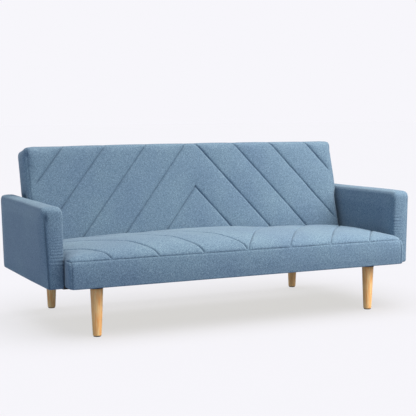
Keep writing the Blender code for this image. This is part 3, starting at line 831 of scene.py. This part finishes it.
class FUTON_OT_back(bpy.types.Operator):
    """Makes the backrest cushion with its boxing, seams, rear panel and chevron channels"""

    bl_idname = "futon.back"
    bl_label = "Backrest Cushion"

    slope = 0.83  # how far a channel runs outward for each metre down
    apex = 0.245  # from the top edge down to the first chevron's point
    aside = 0.0135  # how far right of the middle the chevrons' points are sewn
    edge_seam = -0.004  # from the end of the frame to the seam down each end
    rear_seam = 0.012  # from the rear face to the seam round it
    crown = 0.006  # how far the face swells over its middle
    stand_out = 0.009  # how far the ends reach out above the hinges

    def execute(self, context):
        padding = context.scene.futon_padding
        piece = filled(self, padding.back_rise)
        self.clear_bolts(piece)
        subdivide(piece)
        self.cut(piece)
        self.sew(piece, padding)
        piece.data.transform(LEANED)
        fabric = shared("linen_weave_long", linen_weave, False)
        finish_piece(piece, "backrest", "fabric", fabric, *BACK_NODES)
        return {"FINISHED"}

    def form(self):
        """The sewn cover before it is filled, along the backrest's own axes."""
        low_v, high_v = BACK_FACE + 0.002, BACK_HIGH.y - 0.001
        low_u, high_u = BACK_LOW.z + 0.003, BACK_HIGH.z - 0.006
        rings = []
        for x, inset in rounded_ends(BACK_HIGH.x - 0.001, 0.014):
            low, high = (low_v + inset, low_u + inset), (high_v - inset * 0.3, high_u - inset)
            section = ring(low, high, (0.018, 0.026, 0.012, 0.020), 6)
            rings.append(section_at(x, section))
        return skinned("back_cushion", rings)

    def stuff(self, points):
        """Crowns the face and top, and lets the ends stand out above the hinges."""
        x, v, u = points.T
        crown = self.crown * (1 - np.abs(x / BACK_HIGH.x) ** 2.2)
        points[:, 1] -= crown * smooth(-v, -0.01, 0.03) * smooth(u, BACK_LOW.z, 0.12)
        points[:, 2] += crown * 0.5 * smooth(u, 0.40, BACK_HIGH.z)
        past = smooth(np.abs(x), BACK_HIGH.x - 0.05, BACK_HIGH.x - 0.005)
        points[:, 0] += self.stand_out * np.sign(x) * past * smooth(u, 0.19, 0.25)

    def clear_bolts(self, piece):
        """Draws the ends in where they pass the arm bolts as the backrest lies down."""
        points = places(piece.data)
        x, v, u = points.T
        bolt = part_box("arm_bolt_rear_right")
        reach = bolt[0].y - HINGE.y, bolt[1].y - HINGE.y
        passing = smooth(u, reach[0] - 0.07, reach[0] - 0.03)
        passing *= smooth(-u, -reach[1] - 0.06, -reach[1] - 0.03) * smooth(v, -0.005, 0.012)
        over = np.maximum(np.abs(x) - (bolt[0].x - 0.002), 0)
        points[:, 0] -= np.sign(x) * over * passing
        move_to(piece.data, points)

    def held(self, points):
        """1 where the cover is stapled or sewn down, and 0 where the filling lifts it."""
        x, v, u = points.T
        hold = np.zeros(len(points))
        hold[v > BACK_HIGH.y - self.rear_seam] = 1
        hold[u < BACK_LOW.z + 0.012] = 1
        hold[on_channels(self, x - self.aside, self.run(u)) & (v < 0)] = 0.85
        return hold

    def run(self, u):
        """Distance down the face from the first chevron's point."""
        return BACK_HIGH.z - self.apex - u

    def lines(self):
        return chevrons(bpy.context.scene.futon_padding.pitch, 5)

    def cut(self, piece):
        """Gives every channel and seam its own rows of points."""
        start = (self.aside, 0, BACK_HIGH.z - self.apex)
        jobs = channel_cuts(self, start, (0, 0, -1), lambda c: c[:, 1] < -0.01)
        rear = (0, BACK_HIGH.y - self.rear_seam, 0)
        jobs.append((rear, (0, 1, 0), SEAM_ROWS, lambda c: c[:, 1] > 0))
        for side in (-1, 1):
            edge = (side * (BACK_HIGH.x + self.edge_seam), 0, 0)
            jobs.append((edge, (side, 0, 0), SEAM_ROWS, lambda c: c[:, 1] < 0))
        cut_rows(piece, jobs)

    def sew(self, piece, padding):
        """Sinks the channels and seams, and leaves the cover a little uneven."""
        points, out = places(piece.data), facing(piece.data)
        x, v, u = points.T
        depth = padding.wrinkle * soft_noise(points, 0.10, 7) * 0.5
        depth *= smooth(-v, -0.09, -0.06)
        on_face = smooth(-out[:, 1], 0.15, 0.5) * smooth(BACK_HIGH.x - 0.02 - np.abs(x), 0.0, 0.025)
        channels, fold_painted_shade = sewn_channels(self, x - self.aside, self.run(u), on_face, 40)
        depth += channels
        round_rear = valley(v - (BACK_HIGH.y - self.rear_seam), padding.seam_width)
        depth += 0.6 * padding.seam_depth * round_rear * (np.abs(out[:, 1]) < 0.8)
        edge = np.abs(x) - (BACK_HIGH.x + self.edge_seam)
        fronting = smooth(-out[:, 1], 0.2, 0.5)
        depth += 0.7 * padding.seam_depth * valley(edge, padding.seam_width) * fronting
        # painted shade down the seams at both ends of the face, added to the channels' painted shade
        shade = 0.6 * padding.painted_fold_darkening * valley(edge, 0.002) * fronting
        crease(piece, np.maximum(fold_painted_shade, shade))
        sink(piece, depth)


class FUTON_OT_arms(bpy.types.Operator):
    """Makes both padded arms: side panels, the band round their edge, seams and gathers"""

    bl_idname = "futon.arms"
    bl_label = "Arms"

    seam_from_side = 0.003
    corner = 0.034  # radius of the upper corners, seen from the side
    rings = (-1, -0.97, -0.9, -0.75, -0.4, 0, 0.4, 0.75, 0.9, 0.97, 1)  # shares of half its width
    gather, gather_pitch = 0.0019, 0.0145  # height and spacing of the gathers up the front
    tuck_below = 0.055  # from the top down to the tuck beside the outer seam
    tuck_depth = 0.005
    right_lean = 0.008, 0.009  # how far the right arm leans out at its foot, and more at its top
    left_lean = 0.011  # how far the left arm's outer side leans out at its top and in at its foot
    rear_drop = 0.005  # how far the right arm's top falls towards its rear
    inner_swell = 0.005  # how far an arm's inner side swells at its front

    def execute(self, context):
        padding = context.scene.futon_padding
        fabric = shared("linen_weave_arm", linen_weave, True)
        swollen = self.swollen_form(padding)
        for name, side in SIDES:
            piece = add_object(f"arm_cushion_{name}", swollen.data.copy())
            points = places(piece.data)
            low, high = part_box(f"arm_band_{name}")
            points[:, 0] = points[:, 0] * side + (low.x + high.x) / 2
            move_to(piece.data, points)
            if side < 0:
                piece.data.flip_normals()
            x = points[:, 0]
            seams = x.min() + self.seam_from_side, x.max() - self.seam_from_side
            jobs = [((s, 0, 0), (1, 0, 0), SEAM_ROWS, lambda c: c[:, 2] > 0) for s in seams]
            cut_rows(piece, jobs)
            self.sew(piece, seams, low, high, side, padding)
            self.settle(piece, low, high, side)
            nodes = [f"arm_{part}_{name}" for part in ("band", "inner_pad", "outer_pad")]
            finish_piece(piece, "base", "fabric", fabric, *nodes)
        bpy.data.objects.remove(swollen)
        return {"FINISHED"}

    def swollen_form(self, padding):
        """One arm about its own middle plane, its inner side towards -X."""
        low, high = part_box("arm_band_right")
        half = (high.x - low.x) / 2
        rings = []
        for share in self.rings:
            inset = (0.007 if share > 0 else 0.011) * abs(share) ** 4 + 0.002
            shoulder = inset + (0.010 * abs(share) ** 5 if share < 0 else 0)
            corner = self.corner - inset * 0.5
            section = ring(
                (low.y + inset, low.z + 0.0005),
                (high.y - inset, high.z - shoulder),
                (0.006, 0.006, corner, corner),
                8,
            )
            rings.append(section_at(share * (half + 0.0025), section))
        piece = skinned("arm_form", rings)
        voxel_remesh(piece, padding.arm_voxel)
        x, y, z = places(piece.data).T
        from_edge = np.minimum.reduce([y - low.y, high.y - y, high.z - z])
        hold = np.zeros(len(x))
        hold[z < low.z + 0.006] = 1
        hold[(np.abs(x) > half - 0.010) & (from_edge < 0.024) & (from_edge > 0.006)] = 0.9
        inflate(piece, hold, padding.arm_rise)
        subdivide(piece)
        return piece

    def settle(self, piece, low, high, side):
        """Leans the arm out towards its top, and swells its inner side at the front."""
        points = places(piece.data)
        x, y, z = points.T
        inner = low.x if side > 0 else high.x
        outward = np.clip((x - inner) * side / (high.x - low.x), 0, 1)
        up = (z - low.z) / (high.z - low.z)
        front = smooth(-y, 0.0, 0.33)
        near = smooth(-np.abs(x - inner), -0.04, -0.005) * smooth(-y, 0.22, 0.33)
        if side > 0:
            lean = self.right_lean[0] + self.right_lean[1] * up
            points[:, 2] -= self.rear_drop * smooth(y, -0.25, 0.35) * smooth(up, 0.6, 1.0)
        else:
            lean = outward * (self.left_lean * front * up - self.left_lean * (1 - up))
            lean -= 0.004 * (1 - up) * front
        points[:, 0] += side * (lean - self.inner_swell * near)
        move_to(piece.data, points)

    def sew(self, piece, seams, low, high, side, padding):
        """Sinks the seams, and gathers and tucks the band where it goes round the front."""
        points, out = places(piece.data), facing(piece.data)
        x, y, z = points.T
        left = side < 0
        inner, outer = (high.x, low.x) if left else (low.x, high.x)
        depth = padding.wrinkle * soft_noise(points, 0.12, 11 + side) * 0.5
        depth *= smooth(z, low.z + 0.005, low.z + 0.04)
        on_edge = np.abs(out[:, 0]) < 0.93
        fold_painted_shade = np.zeros(len(points))
        # painted shade along both seams round the band
        for seam in seams:
            depth += padding.seam_depth * valley(x - seam, padding.seam_width) * on_edge
            fold_painted_shade = np.maximum(fold_painted_shade, 0.5 * valley(x - seam, 0.002) * on_edge)
        front = smooth(-out[:, 1], 0.3, 0.8)
        wander = 2.6 * np.sin(z * 31 + side) + 40 * (x - inner) ** 2
        gather = np.sin(z * 2 * math.pi / self.gather_pitch + wander)
        reach = np.exp(-np.abs(x - inner) / (0.055 if left else 0.030)) * smooth(z, 0.31, 0.37)
        reach *= smooth(-z, -0.54, -0.42 if left else -0.46)
        depth += self.gather * np.abs(gather) ** 0.7 * np.sign(gather) * reach * front
        tuck = bell(z - high.z + self.tuck_below, 0.022) * front
        tuck *= bell(np.abs(x - outer) - 0.012, 0.006) * (1.0 if left else 0.4)
        outer_seam = outer - math.copysign(self.seam_from_side, outer)
        groove = bell(x - outer_seam, 0.0065) * (1.0 if left else 0.2) * front
        groove *= smooth(-z, -high.z + 0.02, -high.z + 0.06)
        depth += self.tuck_depth * (tuck + groove)
        # painted shade: the outer groove and the tuck are darkened in colour as well as sunk, together
        # with the seams' painted shade
        crease(piece, np.maximum.reduce([fold_painted_shade, 0.8 * groove, 0.9 * tuck]))
        sink(piece, depth)


class FUTON_OT_dust_cover(bpy.types.Operator):
    """Makes the dust cover that is stapled between the seat's rails"""

    bl_idname = "futon.dust_cover"
    bl_label = "Dust Cover"

    thick = 0.0008
    sag = 0.007
    grid = 121, 41

    def execute(self, context):
        low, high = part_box("seat_dust_cover")
        wide, deep = high.x - low.x, high.y - low.y
        columns, rows = self.grid
        across, along = np.meshgrid(np.linspace(-1, 1, columns), np.linspace(-1, 1, rows))
        points = np.stack([across * wide / 2, along * deep / 2, 0 * across], -1).reshape(-1, 3)
        points[:, 1] += (low.y + high.y) / 2
        x, y, _ = points.T
        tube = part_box("base_side_tube_left")
        middle, half = (tube[0].y + high.y) / 2, (high.y - tube[0].y) / 2
        between = np.clip(1 - (x / tube[1].x) ** 4, 0, 1)
        behind = np.clip(1 - ((y - middle) / half) ** 2, 0, 1)
        pleat = np.sin(x * 2 * math.pi / 0.055 + np.sin(x * 19)) * np.sqrt(behind) * (1 - behind)
        drop = self.sag * behind + 0.0025 * pleat + 0.0012 * soft_noise(points, 0.10, 31) * behind
        points[:, 2] = low.z + self.thick / 2 - drop * between
        faces = [
            (a, a + 1, a + columns + 1, a + columns)
            for row in range(rows - 1)
            for a in range(row * columns, (row + 1) * columns - 1)
        ]
        mesh = bpy.data.meshes.new("dust_cover")
        mesh.from_pydata(points.tolist(), [], faces)
        piece = add_object("dust_cover", mesh)
        step = piece.modifiers.new("Thickness", "SOLIDIFY")
        step.thickness = self.thick
        step.offset = 0
        apply_modifiers(piece)
        lining = shared("non_woven_lining", spun_lining)
        finish_piece(piece, "base", "lining", lining, "seat_dust_cover")
        return {"FINISHED"}


class FUTON_OT_legs(bpy.types.Operator):
    """Makes the turned legs and their glides"""

    bl_idname = "futon.legs"
    bl_label = "Legs and Glides"

    sides = 72

    def execute(self, context):
        beech = shared("lacquered_beech", lacquered_beech)
        nylon = shared("moulded_nylon", moulded_nylon)
        for end in ("front", "rear"):
            for name, _ in SIDES:
                node = f"leg_{end}_{name}"
                finish_piece(self.leg(node), "base", "leg_wood", beech, node)
                node = f"glide_{end}_{name}"
                finish_piece(self.glide(node), "base", "glide_nylon", nylon, node)
        return {"FINISHED"}

    def turned(self, name, profile, centre):
        rings = []
        for radius, z in profile:
            angles = [2 * math.pi * i / self.sides for i in range(self.sides)]
            circle = [(radius * math.cos(a), radius * math.sin(a)) for a in angles]
            rings.append([(centre.x + across, centre.y + along, z) for across, along in circle])
        piece = skinned(name, rings)
        piece.data.set_sharp_from_angle(angle=math.radians(50))
        return piece

    def leg(self, node):
        low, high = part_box(node)
        top = (high.x - low.x) / 2
        foot_z = low.z + 0.002
        foot = max(
            math.hypot(v.co.x - (low.x + high.x) / 2, v.co.y - (low.y + high.y) / 2)
            for v in NODES[node].data.vertices
            if v.co.z < foot_z + 0.001
        )
        edge = 0.0035
        profile = []
        for i in range(6):
            a = math.pi / 2 * i / 5
            profile.append((foot - edge * (1 - math.sin(a)), low.z + edge * (1 - math.cos(a))))
        for i in range(1, 12):
            t = i / 12
            z = low.z + edge + (high.z - low.z - edge * 1.5) * t
            profile.append((foot + (top - foot) * t ** 0.94, z))
        profile += [(top, high.z - 0.002), (top - 0.0006, high.z - 0.0006), (top - 0.002, high.z)]
        return self.turned("turned_" + node, profile, (low + high) / 2)

    def glide(self, node):
        low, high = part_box(node)
        radius = (high.x - low.x) / 2
        profile = [(radius - 0.003, low.z), (radius - 0.001, low.z + 0.0004)]
        profile += [(radius, low.z + 0.0014), (radius, high.z - 0.0004), (radius - 0.0004, high.z)]
        return self.turned("moulded_" + node, profile, (low + high) / 2)


class FUTON_OT_hardware(bpy.types.Operator):
    """Gives the frame, springs, hinges, bolts and base their finishes and broken edges"""

    bl_idname = "futon.hardware"
    bl_label = "Frame and Hardware"

    long_rails = "seat_front_rail", "seat_rear_rail", "back_top_rail", "back_bottom_rail"
    edges = {"sawn_pine": 0.002, "powder_coated_steel": 0.0009, "zinc_plated_steel": 0.0003}

    def execute(self, context):
        finishes = (
            (("hinge_", "pawl_", "arm_bolt_", "leg_stud_"), "zinc_plated_steel", zinc_plate, ()),
            (("base_",), "powder_coated_steel", powder_coat, ()),
            (("seat_spring_",), "oiled_spring_steel", spring_wire, ()),
            (("back_web_",), "elastic_webbing", elastic_webbing, ()),
            (("seat_side_rail_", "arm_core_"), "sawn_pine_y", sawn_pine, (1,)),
            (("back_side_rail_",), "sawn_pine_z", sawn_pine, (2,)),
            (self.long_rails, "sawn_pine_x", sawn_pine, (0,)),
        )
        for starts, name, maker, given in finishes:
            finish = shared(name, maker, *given)
            for node, piece in NODES.items():
                if node.startswith(starts):
                    piece.data.materials.clear()
                    piece.data.materials.append(finish)
                    self.break_edges(piece, name)
        return {"FINISHED"}

    def break_edges(self, piece, finish):
        """Rounds sawn and bent edges a little, so that they catch the light."""
        width = next((w for start, w in self.edges.items() if finish.startswith(start)), None)
        if width is None:
            return
        step = piece.modifiers.new("Broken edges", "BEVEL")
        step.width = width
        step.segments = 2 if width > 0.0005 else 1
        step.limit_method = "ANGLE"
        step.angle_limit = math.radians(50)
        step.use_clamp_overlap = True


class FUTON_OT_studio(bpy.types.Operator):
    """Sets up the paper floor, the camera and the soft lights"""

    bl_idname = "futon.studio"
    bl_label = "Studio"

    floor_half = 60.0

    def execute(self, context):
        self.floor()
        self.camera(context.scene)
        self.lights(context.scene)
        context.scene.view_settings.view_transform = "Standard"
        return {"FINISHED"}

    def floor(self):
        """Seamless paper, lit from behind so that shadows on it stay light."""
        studio = bpy.context.scene.futon_studio
        half = self.floor_half
        mesh = bpy.data.meshes.new("studio_floor")
        corners = [(-half, -half, 0), (half, -half, 0), (half, half, 0), (-half, half, 0)]
        mesh.from_pydata(corners, [], [(0, 1, 2, 3)])
        floor = add_object("studio_floor", mesh)
        paper, tree, shader = new_material("studio_paper", Roughness=1.0, Specular_IOR_Level=0.0)
        fibre = stretched_noise(tree, (0.4, 0.4, 0.4))
        share = 1 - studio.paper_glow
        tree.links.new(mix_colour(tree, fibre, "#CBD3F3", "#CDD5F5"), shader.inputs["Base Color"])
        backdrop = linear(bpy.context.scene.futon_colours.studio)
        paper_tone = linear("#CCD4F4")  # between the fibre's two tones
        light = [studio.sky * s + studio.top * t / math.pi for s, t in zip(SKY_TINT, TOP_TINT)]
        lit = [p * e for p, e in zip(paper_tone, light)]
        glow = [(b - share * d) / studio.paper_glow for b, d in zip(backdrop, lit)] + [1.0]
        bounce = [g * s for g, s in zip(glow, SKY_TINT)] + [1.0]
        seen = add(tree, "Emission", {"Color": glow})
        thrown = add(tree, "Emission", {"Color": bounce, "Strength": studio.bounce})
        path = add(tree, "LightPath").outputs["Is Camera Ray"]
        shine = add(tree, "MixShader", links={0: path, 1: thrown.outputs[0], 2: seen.outputs[0]})
        shares = {0: studio.paper_glow}
        both = add(tree, "MixShader", shares, {1: shader.outputs[0], 2: shine.outputs[0]})
        tree.links.new(both.outputs[0], tree.nodes["Material Output"].inputs["Surface"])
        mesh.materials.append(paper)

    def camera(self, scene):
        studio = scene.futon_studio
        look = Vector(
            (
                math.sin(studio.yaw) * math.cos(studio.pitch),
                math.cos(studio.yaw) * math.cos(studio.pitch),
                math.sin(studio.pitch),
            )
        )
        right = Vector((math.cos(studio.yaw), -math.sin(studio.yaw), 0))
        up = right.cross(look)
        turn = Matrix((right, up, -look)).transposed().to_4x4()
        data = bpy.data.cameras.new("studio_camera")
        data.lens = studio.lens
        data.sensor_width = 36
        camera = add_object("studio_camera", data)
        camera.matrix_world = (
            Matrix.Translation(studio.camera) @ turn @ Matrix.Rotation(studio.roll, 4, "Z")
        )
        scene.camera = camera

    def lights(self, scene):
        studio = scene.futon_studio
        world = bpy.data.worlds.new("studio_sky")
        world.use_nodes = True
        tree = world.node_tree
        tree.nodes.clear()
        paper = linear(scene.futon_colours.studio)
        seen = add(tree, "Background", {"Color": paper, "Strength": 1.0})
        way = add(tree, "TexCoord").outputs["Generated"]
        across = add(tree, "SeparateXYZ", links={0: way}).outputs["X"]
        strength = remap(tree, across, -1.0, 1.0, 1.6 * studio.sky, 0.4 * studio.sky)
        lit = add(tree, "Background", {"Color": (*SKY_TINT, 1.0)}, {"Strength": strength})
        path = add(tree, "LightPath")
        both = add(
            tree,
            "MixShader",
            links={0: path.outputs["Is Camera Ray"], 1: lit.outputs[0], 2: seen.outputs[0]},
        )
        add(tree, "OutputWorld", links={"Surface": both.outputs[0]})
        scene.world = world
        top = bpy.data.lights.new("top_light", "SUN")
        top.energy = studio.top
        top.angle = math.radians(80)
        top.color = TOP_TINT
        add_object("top_light", top).rotation_euler = (math.radians(6), math.radians(8), 0)
        self.softbox(studio)

    def softbox(self, studio):
        """A large lamp beyond the right front, kept off the paper."""
        data = bpy.data.lights.new("softbox", "AREA")
        data.shape = "SQUARE"
        data.size = 2.4
        data.energy = studio.key
        data.color = KEY_TINT
        light = add_object("softbox", data)
        light.location = studio.key_place
        aim = Vector((0.2, -0.1, 0.4)) - Vector(studio.key_place)
        light.rotation_euler = aim.to_track_quat("-Z", "Y").to_euler()
        spared = bpy.data.collections.new("not_lit_by_softbox")
        spared.objects.link(bpy.data.objects["studio_floor"])
        spared.collection_objects[0].light_linking.link_state = "EXCLUDE"
        light.light_linking.receiver_collection = spared


class FUTON_PT_panel(bpy.types.Panel):
    """Lists the settings and the steps in order"""

    bl_label = "Futon Sofa Bed"
    bl_idname = "FUTON_PT_panel"
    bl_space_type = "VIEW_3D"
    bl_region_type = "UI"
    bl_category = "Futon"

    def draw(self, context):
        for place in GROUPS:
            group = getattr(context.scene, place)
            box = self.layout.box()
            for name in group.__annotations__:
                box.prop(group, name)
        for operator in OPERATORS:
            self.layout.operator(operator.bl_idname)


GROUPS = {
    "futon_padding": FutonPadding,
    "futon_colours": FutonColours,
    "futon_studio": FutonStudio,
}
OPERATORS = (
    FUTON_OT_studio,
    FUTON_OT_hardware,
    FUTON_OT_dust_cover,
    FUTON_OT_legs,
    FUTON_OT_arms,
    FUTON_OT_seat,
    FUTON_OT_back,
)


def register():
    for cls in (*GROUPS.values(), *OPERATORS, FUTON_PT_panel):
        bpy.utils.register_class(cls)
    for name, cls in GROUPS.items():
        setattr(bpy.types.Scene, name, bpy.props.PointerProperty(type=cls))


def unregister():
    for name in GROUPS:
        delattr(bpy.types.Scene, name)
    for cls in reversed((*GROUPS.values(), *OPERATORS, FUTON_PT_panel)):
        bpy.utils.unregister_class(cls)


def main():
    register()
    for operator in OPERATORS:
        group, name = operator.bl_idname.split(".")
        getattr(getattr(bpy.ops, group), name)()


if __name__ == "__main__":
    main()
